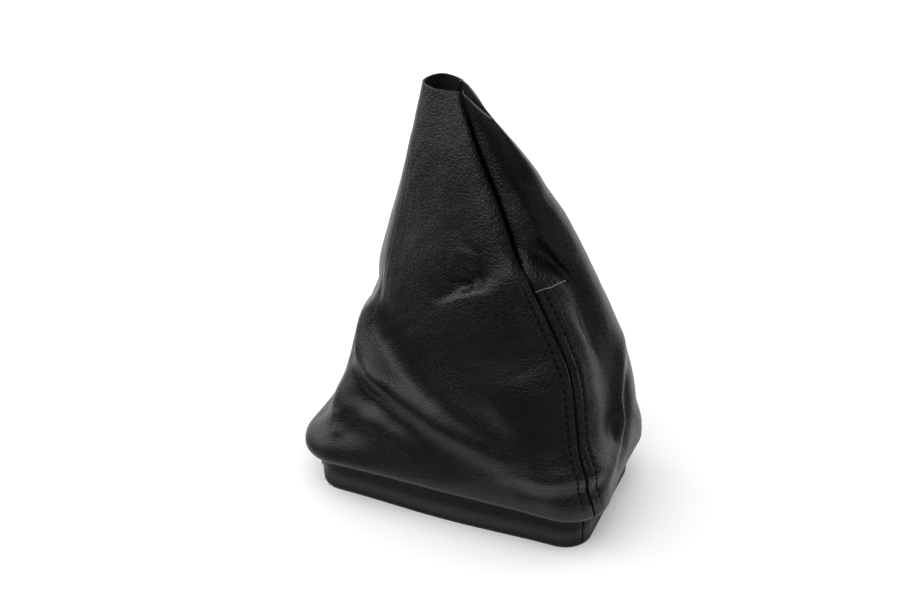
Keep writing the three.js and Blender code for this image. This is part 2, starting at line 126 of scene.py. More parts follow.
# Folds: (turn, level, height) points, then the reach to the left and right of the line. The reach
# changes from one to the other across the line.
REACH_CHANGE = 0.8
FORWARD = (0.3, -0.95, 0.0)
FORWARD_FOLDS = [
    ([(0.075, 0.95, 0.5), (0.1, 0.88, 1.6), (0.115, 0.8, 3),
      (0.112, 0.74, 3.8), (0.095, 0.685, 3.5)], 14, 10),
    ([(0.12, 0.56, 1), (0.13, 0.47, 2), (0.13, 0.38, 2.5),
      (0.13, 0.3, 2), (0.12, 0.24, 1)], 18, 16),
    ([(0.095, 0.685, 0.5), (0.125, 0.65, 1.6), (0.14, 0.62, 1.8), (0.155, 0.58, 1)], 11, 10),
]
FOLDS = [
    # Shelf across the lower left: crease above it, its ridge, and the crease below it.
    ([(-0.257, 0.39, -3), (-0.208, 0.322, -4), (-0.175, 0.272, -3.5),
      (-0.144, 0.243, -2.5), (-0.1, 0.208, -1.2)], 13, 4.5),
    ([(-0.275, 0.36, 2.6), (-0.235, 0.285, 3.6), (-0.2, 0.235, 3.4)], 6, 7),
    ([(-0.2, 0.235, 3.2), (-0.165, 0.2, 3.2), (-0.13, 0.17, 2.8),
      (-0.095, 0.148, 2), (-0.06, 0.13, 1)], 7.5, 8),
    ([(-0.3, 0.3, -2), (-0.268, 0.26, -2.6), (-0.235, 0.22, -2.4), (-0.21, 0.18, -1.6)], 6, 8),
    ([(-0.2, 0.18, -1.6), (-0.171, 0.165, -1.8), (-0.13, 0.14, -1.8),
      (-0.095, 0.12, -1.2), (-0.06, 0.1, -0.5)], 7, 9),
    ([(-0.225, 0.14, 1), (-0.195, 0.13, 2), (-0.165, 0.11, 1.5)], 4.5, 6),
    # Left end: pinched above the roll and drawn in higher up.
    ([(-0.4, 0.22, -3), (-0.28, 0.17, -3.5)], 9, 9),
    ([(-0.37, 0.1, -5.5), (-0.285, 0.085, -6), (-0.243, 0.1, -3.5)], 8, 8),
    ([(-0.24, 0.11, 1.5), (-0.233, 0.08, 1.5)], 2.5, 3),
    ([(-0.215, 0.085, -1.2), (-0.205, 0.085, -1.2)], 6, 6),
    ([(-0.4, 0.36, -5), (-0.35, 0.4, -4), (-0.28, 0.44, -2.5)], 11, 9),
    # Pinch beside the upper end of the topstitching: a sharp dent with a bulge against it.
    ([(-0.125, 0.5, -0.6), (-0.1, 0.533, -1.8), (-0.08, 0.558, -2.6)], 4, 1.3),
    ([(-0.08, 0.558, -2.4), (-0.06, 0.582, -4.2),
      (-0.05, 0.605, -3.6), (-0.045, 0.64, -1)], 5, 2.2),
    ([(-0.08, 0.54, 0.6), (-0.05, 0.557, 2.2), (-0.032, 0.58, 3),
      (-0.018, 0.605, 2.6), (-0.006, 0.64, 0.8)], 3.5, 7),
    ([(-0.065, 0.64, 1), (-0.057, 0.618, 1.2)], 3, 3),
    # Right panel: a ridge from the mouth that turns outward over a hollow.
    ([(0.015, 0.66, -1.5), (0.035, 0.655, -3), (0.06, 0.64, -3.4),
      (0.085, 0.618, -3), (0.115, 0.592, -2)], 6, 5),
    ([(0.002, 0.6, 1.2), (0.026, 0.59, 1.8), (0.06, 0.565, 1.2)], 4, 6),
    ([(0.17, 0.84, -1), (0.2, 0.79, -2)], 8, 8),
    # Right panel, middle: an upright ridge beside the seam and a hollow behind it.
    ([(0.022, 0.53, 0.4), (0.03, 0.47, 1), (0.04, 0.42, 1), (0.034, 0.37, 0.6)], 7, 7),
    ([(0.14, 0.52, -1), (0.12, 0.47, -1.5), (0.09, 0.42, -1)], 10, 12),
    # Right end, low: a ridge that sweeps down to the corner, with hollows on both sides.
    ([(0.21, 0.35, 1), (0.18, 0.28, 2.5), (0.14, 0.215, 3.5),
      (0.128, 0.155, 4), (0.085, 0.11, 3), (0.035, 0.085, 1.5)], 5, 5.5),
    ([(-0.05, 0.2, -1), (-0.005, 0.208, -1.6), (0.05, 0.19, -2), (0.085, 0.17, -2)], 9, 8),
    ([(0.19, 0.25, -1), (0.17, 0.14, -1.6), (0.14, 0.07, -1.6), (0.09, 0.045, -1)], 5, 5),
    ([(0.235, 0.26, -1), (0.232, 0.12, -2), (0.215, 0.07, 0)], 9, 9),
    # Across the main seam: a low swell, and a compression bump above the roll.
    ([(-0.035, 0.325, 0.3), (0, 0.335, 0.8), (0.02, 0.3, 1.0)], 8, 8),
    ([(-0.05, 0.085, 0.8), (-0.03, 0.1, 2), (-0.01, 0.125, 2.6), (0.012, 0.13, 2)], 4.5, 6),
    ([(-0.045, 0.06, -1), (-0.015, 0.075, -1.5), (0.01, 0.08, -1)], 4, 5),
    # Back.
    ([(0.3, 0.62, -3), (0.37, 0.45, -4), (0.47, 0.36, -2)], 10, 10),
    ([(0.3, 0.5, 2), (0.36, 0.33, 4), (0.46, 0.22, 3)], 11, 11),
    ([(0.29, 0.2, -3), (0.4, 0.12, -3)], 9, 9),
    ([(0.42, 0.8, 2), (0.46, 0.6, 2.5)], 9, 9),
]

# Stitches: the share of the pitch that each fills, and, in thread radii, how deep it lies in the
# leather along its middle and how much deeper at its thinner ends.
STITCH_PITCH = 3.8
STITCH_FILL = 0.94
STITCH_DEPTH = 0.3
STITCH_END_DEPTH = 2.0
STITCH_END_THINNING = 0.35
THREAD_DIAMETER = 0.7

# Loose end of the thread, in millimetres: length, start, lift at its start and size of its kink.
THREAD_TAIL = 17.0
TAIL_FROM_SEAM = 1.0
TAIL_BASE_LIFT = 0.5
TAIL_KINK = 1.0
# As shares of its length: how far it runs sideways, up and off the leather. The droop takes off a
# share of that last way towards the end.
TAIL_SIDEWAYS = 0.78
TAIL_RISE = 0.36
TAIL_LIFT = 0.3
TAIL_DROOP = 0.35
# As shares of the thread's radius: its thickness, the change by its twist, and its frayed end.
TAIL_THICKNESS = 0.62
TAIL_TWIST = 0.2
TAIL_FRAYED_END = [1.5, 1.9, 1.3]
# Angles in radians that the kink and the twist run through along it.
TAIL_KINK_BENDS = 9.0
TAIL_TWISTS = 60.0

# Mesh fineness.
SEAM_COLUMNS = 26
SEAM_BAND = 9.4
SHORT_SIDE_COLUMNS = 48
LONG_SIDE_COLUMNS = 84
CORNER_CROWDING = 1.15
BAND_ROWS = 14
ROLL_ROWS = 16
SLEEVE_ROWS = 180
STITCH_POINTS = 9
TAIL_POINTS = 60
THREAD_SIDES = 8
FRAME_COLUMNS = 224
ROUNDING_POINTS = 5
TINY = 1e-6

# Levels between which the stitched strips, the rows' holes and the doubled leather fade in, and
# between which they fade out again.
STRIP_LEVELS = (TOPSTITCH_START - 0.02, TOPSTITCH_START + 0.01, TOPSTITCH_END, TOPSTITCH_END + 0.03)
ROW_LEVELS = (TOPSTITCH_START, TOPSTITCH_START + 0.01, TOPSTITCH_END - 0.01, TOPSTITCH_END)
DOUBLED_LEVELS = (ALLOWANCE_START, ALLOWANCE_START + 0.02, ALLOWANCE_END - 0.02, ALLOWANCE_END)

# Relief at the seams: depth or height of each form and how far it reaches. Above UPPER_LEVELS the
# main seam lies in a hollow and the rear seam's groove is shallower.
SEWN_LEVELS = (-0.7, -0.2)
UPPER_LEVELS = (0.52, 0.64)
GROOVE_DEPTH = 1.1
GROOVE_REACH = 0.85
GROOVE_ON_BAND = 0.35
REAR_GROOVE_LOSS = 0.75
HOLLOW_DEPTH = 0.9
HOLLOW_REACH = 2.2
STRIP_HEIGHT = 0.22
STRIP_MIDDLE = 2.6
STRIP_REACH = 1.6
ALLOWANCE_HEIGHT = 0.16
ALLOWANCE_FADE = 1.5
ROW_DEPTH = 0.3
ROW_REACH = 0.7
PUCKER_HEIGHT = 0.05
PUCKER_LENGTH = 7.3
PUCKER_SWAY = 1.7
PUCKER_SWAY_LENGTH = 11.0
PUCKER_MIDDLE = 5.5
PUCKER_REACH = 5.0
PUCKER_UNSTITCHED = 0.3

# Unevenness of the sleeve and of the band: height, wavelength, number of waves and seed. Then how
# far the padding over the frame stands out, and the power that moves its middle down.
UNEVEN_LEVELS = (0.0, 0.08)
SLEEVE_UNEVENNESS = [(0.3, 42.0, 9, 11), (0.07, 15.0, 12, 12)]
BAND_UNEVENNESS = (0.05, 18.0, 8, 14)
BAND_PADDING = 0.3
PADDING_SLOPE = 0.6

# Crowded grain: turns over which it fades out towards the sides, its reach and levels beside the
# upper seam, then spots, as distance from the main seam, reach, level, reach up and share.
CROWDED_FADE = (0.3, 0.2)
CROWDED_BY_SEAM = 22.0
CROWDED_LEVELS = (0.5, 0.6)
CROWDED_SPOTS = [(-13, 18.0, 0.57, 14.0, 1.0), (-5, 16.0, 0.11, 9.0, 0.8)]

# Thickness: gap at a seam, the doubled leather's edge before and after the allowance's width, the
# backing behind the seam's groove, and the share pared off at the rim.
SEWN_GAP = 0.04
DOUBLED_EDGE = (0.4, 0.2)
GROOVE_BACKING = 1.15
BACKING_REACH = 0.9
RIM_SKIVING = 0.4
SKIVED_FROM = 0.97

# Ridge share per bend, where the bend is one over the radius in millimetres: 3 mm counts as a full
# ridge.
RIDGE_PER_BEND = 3.0

# Rounded edges of the frame and its barb.
LIP_ROUNDING = 0.35
WALL_TOP_ROUNDING = 0.6
WALL_FOOT_ROUNDING = 0.5
BARB_ROUNDING = 0.3


# Footprint points and outward directions at an array of turns. The radius may change with them.
def footprint(turn, inset=0.0, radius=CORNER_RADIUS):
    radius = np.broadcast_to(np.asarray(radius, float), np.shape(turn))
    wrapped = np.mod(turn, 1.0) * 4
    side = np.floor(wrapped).astype(int) % 4
    half = np.array([BASE_LENGTH / 2, BASE_WIDTH / 2]) - radius[..., None]
    corners = np.array([[1, -1], [1, 1], [-1, 1], [-1, -1]])
    start = corners[side] * half
    end = corners[(side + 1) % 4] * half
    run = end - start
    straight = np.linalg.norm(run, axis=-1)
    run = run / straight[..., None]
    facing = np.arctan2(-run[..., 0], run[..., 1])
    half_arc = radius * np.pi / 4
    along = (wrapped - np.floor(wrapped)) * (straight + 2 * half_arc)
    first = along < half_arc
    last = along > half_arc + straight
    arc = np.where(first, along / radius - np.pi / 4, 0.0)
    arc = np.where(last, (along - half_arc - straight) / radius, arc)
    out = np.stack([np.cos(facing + arc), np.sin(facing + arc)], -1)
    share = np.clip((along - half_arc) / straight, 0, 1)
    bow = np.where(side % 2 == 1, LONG_SIDE_BOW * np.sin(np.pi * share) ** 2, 0.0)
    centre = start + (end - start) * share[..., None]
    return centre + out * (radius - inset + bow)[..., None], out


def loop_length(points):
    points = np.array(points)
    return np.linalg.norm(np.roll(points, -1, 0) - points, axis=1).sum()


BASE_GIRTH = 2 * (BASE_LENGTH + BASE_WIDTH) - (8 - 2 * np.pi) * CORNER_RADIUS
MOUTH_GIRTH = loop_length([row[1:] for row in MOUTH_RIM])


# Smooth closed course through rows of turn, value, value..., read at an array of turns.
def around_values(rows, turn):
    rows = np.array(rows, float)
    count = len(rows)
    wrapped = np.mod(turn, 1.0)
    k = np.searchsorted(rows[:, 0], wrapped, side="right") - 1

    def row(j):
        return rows[j % count, 1:]

    def place(j):
        return rows[j % count, 0] + np.floor_divide(j, count)

    gap = place(k + 1) - place(k)
    s = ((wrapped - place(k)) / gap)[..., None]
    slope = (row(k + 1) - row(k - 1)) * (gap / (place(k + 1) - place(k - 1)))[..., None]
    next_slope = (row(k + 2) - row(k)) * (gap / (place(k + 2) - place(k)))[..., None]
    rise = (3 - 2 * s) * s * s
    passed = row(k) * (1 - rise) + row(k + 1) * rise
    return passed + slope * s * (1 - s) ** 2 - next_slope * s * s * (1 - s)


# Smooth course through rows of place and value, level at both ends.
def smooth_row(rows, x):
    rows = np.array(rows, float)
    place, value = rows[:, 0], rows[:, 1]
    slopes = np.gradient(value, place)
    k = np.clip(np.searchsorted(place, x, side="right") - 1, 0, len(rows) - 2)
    gap = place[k + 1] - place[k]
    s = (x - place[k]) / gap
    rise = (3 - 2 * s) * s * s
    bend = slopes[k] * s * (1 - s) ** 2 - slopes[k + 1] * s * s * (1 - s)
    return value[k] * (1 - rise) + value[k + 1] * rise + bend * gap


def bulge_low(t):
    return t * (1 - t) ** 2 * 27 / 4


def bulge_high(t):
    return t * t * (1 - t) * 27 / 4


def smoothstep(x, low, high):
    s = np.clip((x - low) / (high - low), 0, 1)
    return s * s * (3 - 2 * s)


# 1 between the middle two of four places, and 0 outside the outer two.
def between(x, start, full, fading, end):
    return smoothstep(x, start, full) * (1 - smoothstep(x, fading, end))


def bell(x, middle, reach):
    return np.exp(-(((x - middle) / reach) ** 2))


# A share from 0 to 1, lifted so that it starts at a least value.
def at_least(least, share):
    return least + (1 - least) * share


# Turns brought to between -0.5 and 0.5, so that they count from the main seam.
def signed_turn(turn):
    return np.mod(turn + 0.5, 1) - 0.5


# Share of the way up the band, from the hem to the roll.
def band_share(level):
    return np.clip((level - HEM) / (ROLL_END - HEM), 0, 1)


def girth_at(level):
    return BASE_GIRTH + (MOUTH_GIRTH - BASE_GIRTH) * np.clip(level, 0, 1)


# Depth of the pleat at turns counted from the main seam.
def pleat_depth(near, level):
    rows = np.array(PLEAT)
    depth, left, right = (np.interp(level, rows[:, 0], rows[:, k]) for k in (1, 2, 3))
    distance = near * girth_at(level)
    share = np.clip(1 - np.abs(distance) / np.where(distance < 0, left, right), 0, 1)
    return depth * share ** PLEAT_SHARPNESS


# Plan of the sleeve before it's eased round the corners.
def angular_plan(turn, t):
    near = signed_turn(turn)
    fall = np.cos(np.minimum(np.abs(near) / SEAM_DRIFT_REACH, 1) * np.pi / 2) ** 2
    drifted = turn + fall * smooth_row(SEAM_DRIFT, t)
    radius = CORNER_RADIUS + CORNER_SOFTENING * smoothstep(t, 0, SOFTENED_LEVEL) * fall
    point, out = footprint(drifted, 0.0, radius)
    fullness = around_values(FULLNESS, turn)
    overhang, low, high = np.moveaxis(fullness, -1, 0)
    eased = (t - SOFT_START * (1 - np.exp(-t / SOFT_START))) / (1 - SOFT_START)
    rim = around_values(MOUTH_RIM, turn) + np.array(MOUTH_MIDDLE)
    reach = overhang * (1 - eased) + low * bulge_low(eased) + high * bulge_high(eased)
    plan = point * (1 - eased)[..., None] + rim * eased[..., None] + out * reach[..., None]
    return plan, point, out, overhang


# Sleeve without its folds, in millimetres.
def plain_points(turn, level):
    t = np.clip(level, 0, 1)
    plan, point, out, overhang = angular_plan(turn, t)
    step = EASING_STEP * smoothstep(t, 0, EASED_LEVEL)
    plan = plan * EASING_WEIGHTS[0]
    for k, weight in enumerate(EASING_WEIGHTS[1:], 1):
        before, after = (angular_plan(turn + way * k * step, t)[0] for way in (-1, 1))
        plan = plan + weight * (before + after)
    plan = plan + pleat_depth(signed_turn(turn), t)[..., None] * np.array(PLEAT_DIRECTION)
    z = WIDEST_HEIGHT + SLEEVE_RISE * t
    angle = np.clip(level / ROLL_END, 0, 1) * np.pi / 2
    under = level < 0
    plan = np.where(under[..., None], point + out * (overhang * np.cos(angle))[..., None], plan)
    z = np.where(under, WIDEST_HEIGHT - ROLL_RISE * np.sin(angle), z)
    z = np.where(level <= ROLL_END, HEM_HEIGHT + (BAND_TOP - HEM_HEIGHT) * band_share(level), z)
    return np.concatenate([plan, z[..., None]], -1)


# Height of some folds. Distances are taken on the sleeve laid flat.
def fold_height(turn, level, folds):
    girth = girth_at(level)
    total = np.zeros_like(level)
    for line, left, right in folds:
        nearest = np.full_like(level, np.inf)
        height = np.zeros_like(level)
        reach = np.full_like(level, left)
        for (turn_a, level_a, height_a), (turn_b, level_b, height_b) in zip(line, line[1:]):
            px = signed_turn(turn - turn_a) * girth
            py = (level - level_a) * SLEEVE_RISE
            dx = (turn_b - turn_a) * girth
            dy = (level_b - level_a) * SLEEVE_RISE
            share = np.clip((px * dx + py * dy) / (dx * dx + dy * dy), 0, 1)
            distance = np.hypot(px - share * dx, py - share * dy)
            closer = distance < nearest
            nearest = np.where(closer, distance, nearest)
            height = np.where(closer, height_a + (height_b - height_a) * share, height)
            beside = (dx * py - dy * px) / (np.hypot(dx, dy) * distance + TINY)
            leftness = np.clip(0.5 + REACH_CHANGE * beside, 0, 1)
            reach = np.where(closer, right + (left - right) * leftness, reach)
        total += height * np.exp(-((nearest / reach) ** 2))
    return total * smoothstep(level, 0, FOLD_START)


# Sleeve with its folds. The forward ones stand out towards the front.
def folded_points(turn, level):
    points = plain_points(turn, level)
    points = points + fold_height(turn, level, FORWARD_FOLDS)[..., None] * np.array(FORWARD)
    return points + grid_normals(points) * fold_height(turn, level, FOLDS)[..., None]


# Outward unit normals of a grid of points, columns first.
def grid_normals(points):
    across = np.gradient(points, axis=0)
    up = np.gradient(points, axis=1)
    normal = np.cross(across, up)
    return normal / np.linalg.norm(normal, axis=-1, keepdims=True)


# Turns at distances in millimetres from a seam, for each level. Side is 1 or -1.
def turns_from_seam(seam, side, distances, levels):
    step = 0.01
    here = plain_points(np.full_like(levels, seam), levels)
    beside = plain_points(np.full_like(levels, seam + side * step), levels)
    speed = np.linalg.norm(beside - here, axis=-1) / step
    return seam + side * distances[:, None] / speed[None, :]


def panel_grid(from_seam):
    levels = np.concatenate([
        np.linspace(HEM, ROLL_END, BAND_ROWS, endpoint=False),
        np.linspace(ROLL_END, 0, ROLL_ROWS, endpoint=False),
        np.linspace(0, 1, SLEEVE_ROWS + 1),
    ])
    edge = np.linspace(SEWN_GAP / 2, SEAM_BAND, SEAM_COLUMNS)
    start = turns_from_seam(from_seam, 1, edge, levels)
    end = turns_from_seam(from_seam + 0.5, -1, edge, levels)
    corner = from_seam + 0.25
    short = (np.arange(SHORT_SIDE_COLUMNS - 1, 0, -1) / SHORT_SIDE_COLUMNS) ** CORNER_CROWDING
    long = (np.arange(LONG_SIDE_COLUMNS) / LONG_SIDE_COLUMNS) ** CORNER_CROWDING
    turns = np.concatenate([
        start,
        corner + short[:, None] * (start[-1] - corner)[None, :],
        corner + long[:, None] * (end[-1] - corner)[None, :],
        end[::-1],
    ])
    return turns, np.broadcast_to(levels, turns.shape).copy()


# Gentle unevenness: a sum of seeded waves over the sleeve laid flat.
def unevenness(x, y, wavelength, count, seed):
    random = np.random.default_rng(seed)
    total = np.zeros_like(x)
    for _ in range(count):
        angle = random.uniform(0, np.pi)
        length = wavelength * random.uniform(0.7, 1.5)
        phase = random.uniform(0, 2 * np.pi)
        total += np.sin(2 * np.pi * (x * np.cos(angle) + y * np.sin(angle)) / length + phase)
    return total / np.sqrt(count)


# Small relief of the outer face, in millimetres: seam groove, stitched strips, puckers, wrinkles.
def fine_relief(turn, level, seam_distance, seam_run, across, up):
    stitched = between(level, *STRIP_LEVELS)
    sewn = smoothstep(level, *SEWN_LEVELS)
    at_main_seam = np.abs(signed_turn(turn)) < 0.25
    upper = smoothstep(level, *UPPER_LEVELS)
    groove = np.where(at_main_seam, 1.0, 1 - REAR_GROOVE_LOSS * upper)
    on_band = at_least(GROOVE_ON_BAND, sewn)
    relief = -GROOVE_DEPTH * bell(seam_distance, 0, GROOVE_REACH) * on_band * groove
    relief -= np.where(at_main_seam, HOLLOW_DEPTH, 0.0) * bell(seam_distance, 0, HOLLOW_REACH) * upper
    relief += STRIP_HEIGHT * bell(seam_distance, STRIP_MIDDLE, STRIP_REACH) * stitched
    past_allowance = smoothstep(seam_distance, ALLOWANCE - ALLOWANCE_FADE, ALLOWANCE + ALLOWANCE_FADE)
    relief += ALLOWANCE_HEIGHT * (1 - past_allowance)
    relief -= ROW_DEPTH * stitched * bell(seam_distance, STITCH_OFFSET, ROW_REACH)
    sway = PUCKER_SWAY * np.sin(seam_run / PUCKER_SWAY_LENGTH)
    pucker = np.sin(2 * np.pi * seam_run / PUCKER_LENGTH + sway)
    puckered = bell(seam_distance, PUCKER_MIDDLE, PUCKER_REACH)
    relief += PUCKER_HEIGHT * pucker * puckered * at_least(PUCKER_UNSTITCHED, stitched)
    on_sleeve = smoothstep(level, *UNEVEN_LEVELS)
    for height, *waves in SLEEVE_UNEVENNESS:
        relief += on_sleeve * height * unevenness(across, up, *waves)
    height, *waves = BAND_UNEVENNESS
    relief += (1 - on_sleeve) * height * unevenness(across, up, *waves)
    relief += BAND_PADDING * np.sin(np.pi * band_share(level) ** PADDING_SLOPE)
    return relief


# Where the leather is squeezed together its grain stands up.
def crowded_grain(turn, level, seam_distance):
    near = signed_turn(turn)
    crowding = bell(seam_distance, 0, CROWDED_BY_SEAM) * smoothstep(level, *CROWDED_LEVELS)
    for distance, reach, spot_level, reach_up, share in CROWDED_SPOTS:
        spot = bell(near * girth_at(level), distance, reach)
        spot = spot * bell(level * SLEEVE_RISE, spot_level * SLEEVE_RISE, reach_up)
        crowding = crowding + share * spot
    return np.clip(smoothstep(np.abs(near), *CROWDED_FADE) * crowding, 0, 1)


# Depth of the inner face under the folded surface: leather, its allowance, rim and groove backing.
def panel_depth(level, seam_distance):
    edge_start, edge_end = DOUBLED_EDGE
    doubled = 1 - smoothstep(seam_distance, ALLOWANCE - edge_start, ALLOWANCE + edge_end)
    doubled = doubled * between(level, *DOUBLED_LEVELS)
    skived = 1 - RIM_SKIVING * smoothstep(level, SKIVED_FROM, 1.0)
    backing = GROOVE_BACKING * bell(seam_distance, 0, BACKING_REACH) * (1 - doubled)
    return LEATHER * (1 + doubled) * skived + backing


# Lengths run along one axis of a grid of points, from its first edge.
def run_along(points, axis):
    steps = np.linalg.norm(np.diff(points, axis=axis), axis=-1)
    start = np.zeros_like(np.take(steps, [0], axis))
    return np.concatenate([start, np.cumsum(steps, axis)], axis)


# One panel's two faces, and the values at each of its points that the material and threads need.
def panel_shape(from_seam):
    turn, level = panel_grid(from_seam)
    folded = folded_points(turn, level)
    normal = grid_normals(folded)
    across = run_along(folded, 0)
    width = across[-1:]
    across = across + CLEARANCE / 2
    seam_distance = np.minimum(across, width + CLEARANCE - across)
    up = run_along(folded, 1)
    seam_run = np.where(across < width / 2, up[:1], up[-1:])
    relief = fine_relief(turn, level, seam_distance, seam_run, across, up)
    outer = folded + normal * relief[..., None]
    return {
        "outer": outer,
        "inner": folded - normal * panel_depth(level, seam_distance)[..., None],
        "normal": normal,
        "level": level,
        "across": across,
        "up": up,
        "seam_distance": seam_distance,
        "seam_run": seam_run,
        "ridge_bend": ridge_bend_of(outer),
        "crowded": crowded_grain(turn, level, seam_distance),
        # Share up the band: it smooths the band's leather and sets the painted shade under the roll.
        "band_rise": np.where(level < ROLL_END + 0.01, band_share(level), 0),
        "stitched": between(level, *ROW_LEVELS),
    }


def link(obj):
    bpy.context.scene.collection.objects.link(obj)
    return obj


def mesh_object(name, vertices, faces, materials, face_material=None):
    mesh = bpy.data.meshes.new(name)
    faces = [tuple(int(i) for i in face) for face in faces]
    mesh.from_pydata((np.asarray(vertices) * MM).tolist(), [], faces)
    for material in materials:
        mesh.materials.append(material)
    if face_material is not None:
        mesh.polygons.foreach_set("material_index", np.asarray(face_material, dtype=np.int32))
    mesh.polygons.foreach_set("use_smooth", np.ones(len(faces), dtype=bool))
    mesh.update()
    return link(bpy.data.objects.new(name, mesh))


# Closed panel body: outer face, inner face and the cut edges between them.
def panel_object(name, shape, materials):
    columns, rows = shape["level"].shape
    count = columns * rows
    index = np.arange(count).reshape(columns, rows)
    a, b = index[:-1, :-1], index[1:, :-1]
    c, d = index[1:, 1:], index[:-1, 1:]
    outer = np.stack([a, b, c, d], -1).reshape(-1, 4)
    inner = np.stack([a, d, c, b], -1).reshape(-1, 4) + count
    loop = np.concatenate([index[:, 0], index[-1, 1:], index[-2::-1, -1], index[0, -2:0:-1]])
    following = np.roll(loop, -1)
    edge = np.stack([loop, loop + count, following + count, following], -1)
    faces = np.concatenate([outer, inner, edge])
    kinds = np.concatenate([np.zeros(len(outer)), np.ones(len(inner)), np.full(len(edge), 2)])
    vertices = np.concatenate([shape["outer"].reshape(-1, 3), shape["inner"].reshape(-1, 3)])
    obj = mesh_object(name, vertices, faces, materials, kinds)
    flat = np.stack([shape["across"].ravel(), shape["up"].ravel()], -1)
    add_flat(obj.data, "flat_mm", np.concatenate([flat, flat]))
    for name in ("seam_distance", "seam_run", "ridge_bend", "crowded", "band_rise", "stitched"):
        add_values(obj.data, name, np.tile(shape[name].ravel(), 2))
    return obj


def add_values(mesh, name, values):
    attribute = mesh.attributes.new(name, "FLOAT", "POINT")
    attribute.data.foreach_set("value", values.astype(np.float32))


# UV layer from flat coordinates at each vertex.
def add_flat(mesh, name, flat):
    corners = np.empty(len(mesh.loops), dtype=np.int32)
    mesh.loops.foreach_get("vertex_index", corners)
    layer = mesh.uv_layers.new(name=name)
    layer.data.foreach_set("uv", flat[corners].astype(np.float32).ravel())


# How rounded-over the leather is at each point: positive on ridges, negative in hollows. It drives the
# painted highlight on ridges.
def ridge_bend_of(points):
    normal = grid_normals(points)
    bend = 0
    for axis in (0, 1):
        step = np.gradient(points, axis=axis)
        turning = np.gradient(normal, axis=axis)
        bend = bend + (turning * step).sum(-1) / np.maximum((step ** 2).sum(-1), TINY)
    return np.clip(bend * RIDGE_PER_BEND, -1, 1)


# Shader helpers for the nodes of a material or a world.
class Nodes:
    def __init__(self, owner, shader="Principled BSDF"):
        owner.use_nodes = True
        self.tree = owner.node_tree
        self.shader = self.tree.nodes[shader]

    def add(self, kind, inputs=None, **settings):
        node = self.tree.nodes.new(kind)
        for key, value in settings.items():
            setattr(node, key, value)
        for key, value in (inputs or {}).items():
            self.feed(node.inputs[key], value)
        return node

    def feed(self, socket, value):
        if isinstance(value, bpy.types.NodeSocket):
            self.tree.links.new(value, socket)
        else:
            socket.default_value = value

    # Values and links for the shader's own sockets.
    def surface(self, sockets):
        for key, value in sockets.items():
            self.feed(self.shader.inputs[key], value)

    # Relief by a height from 0 to 1 and its depth in millimetres.
    def bump(self, height, strength, depth):
        inputs = {"Height": height, "Strength": strength, "Distance": depth * MM}
        self.surface({"Normal": self.add("ShaderNodeBump", inputs).outputs[0]})

    def math(self, operation, a, b=0.0):
        return self.add("ShaderNodeMath", {0: a, 1: b}, operation=operation).outputs[0]

    def vector(self, operation, a, b=(0.0, 0.0, 0.0)):
        return self.add("ShaderNodeVectorMath", {0: a, 1: b}, operation=operation).outputs[0]

    def scaled(self, vector, factor):
        inputs = {0: vector, "Scale": factor}
        return self.add("ShaderNodeVectorMath", inputs, operation="SCALE").outputs[0]

    def cosine(self, a, b):
        return self.add("ShaderNodeVectorMath", {0: a, 1: b}, operation="DOT_PRODUCT").outputs["Value"]

    def ramp(self, value, low, high, to_low=0.0, to_high=1.0):
        inputs = {0: value, 1: low, 2: high, 3: to_low, 4: to_high}
        return self.add("ShaderNodeMapRange", inputs, interpolation_type="SMOOTHSTEP").outputs[0]

    def mix(self, share, a, b):
        return self.add("ShaderNodeMix", {0: share, 6: a, 7: b}, data_type="RGBA").outputs[2]

    def mix_numbers(self, share, a, b):
        return self.add("ShaderNodeMix", {0: share, 2: a, 3: b}).outputs[0]

    def value(self, name):
        return self.add("ShaderNodeAttribute", attribute_name=name).outputs["Fac"]

    # Object coordinates in millimetres.
    def place(self):
        return self.scaled(self.add("ShaderNodeTexCoord").outputs["Object"], 1 / MM)

    def noise(self, place, size, detail=2.0, roughness=0.5):
        inputs = {"Vector": place, "Scale": 1 / size, "Detail": detail, "Roughness": roughness}
        return self.add("ShaderNodeTexNoise", inputs).outputs["Fac"]


def grey(value, tint=0.0):
    return (value * (1 + tint), value, value * (1 + tint), 1.0)


# Grain of the leather, in millimetres. The pebbles' places are bent by a wide noise, and a finer
# net of creases runs through them.
GRAIN_SIZE = 1.8
GRAIN_DEPTH = 0.11
GRAIN_BEND = 1.6
GRAIN_BEND_SCALE = 0.45
CREASES_PER_PEBBLE = 2.1
CREASE_SHARE = 0.15
PORE_SIZE = 0.35
PORE_SHARE = 0.05
PATCH_SIZE = 30.0
PATCH = (0.3, 0.7)
FLATTER_PATCH = 0.75
UNCROWDED_GRAIN = 0.8
CROWDED_GAIN = 0.9

# Greys of the leather: low and high of its blotches, in its creases, and the painted highlight on its
# rounded ridges.
LEATHER_LOW = grey(0.0022, 0.02)
LEATHER_HIGH = grey(0.0036, 0.03)
LEATHER_CREASE = grey(0.001, 0.03)
LEATHER_RIDGE_HIGHLIGHT = grey(0.008, 0.02)
RIDGE_HIGHLIGHT_SHARE = 0.3

# Roughness of the leather, and what is added or taken off for creases, rounded ridges, the tight
# leather under the roll, and the seam line with its stitch holes.
LEATHER_ROUGHNESS = (0.28, 0.34)
CREASE_ROUGHNESS = 0.12
RIDGE_SMOOTHNESS = 0.07
TIGHT_SMOOTHNESS = 0.12
SUNK_ROUGHNESS = 0.5
LEATHER_SPECULAR = 0.45
# Painted shade: the specular level left in the seam line and in the stitch holes.
HOLE_SHADE_SPECULAR = 0.03
# Painted shade under the roll: the share of the specular level that is left at the top of the band.
UNDER_ROLL_SHADE_SHARE = 0.3


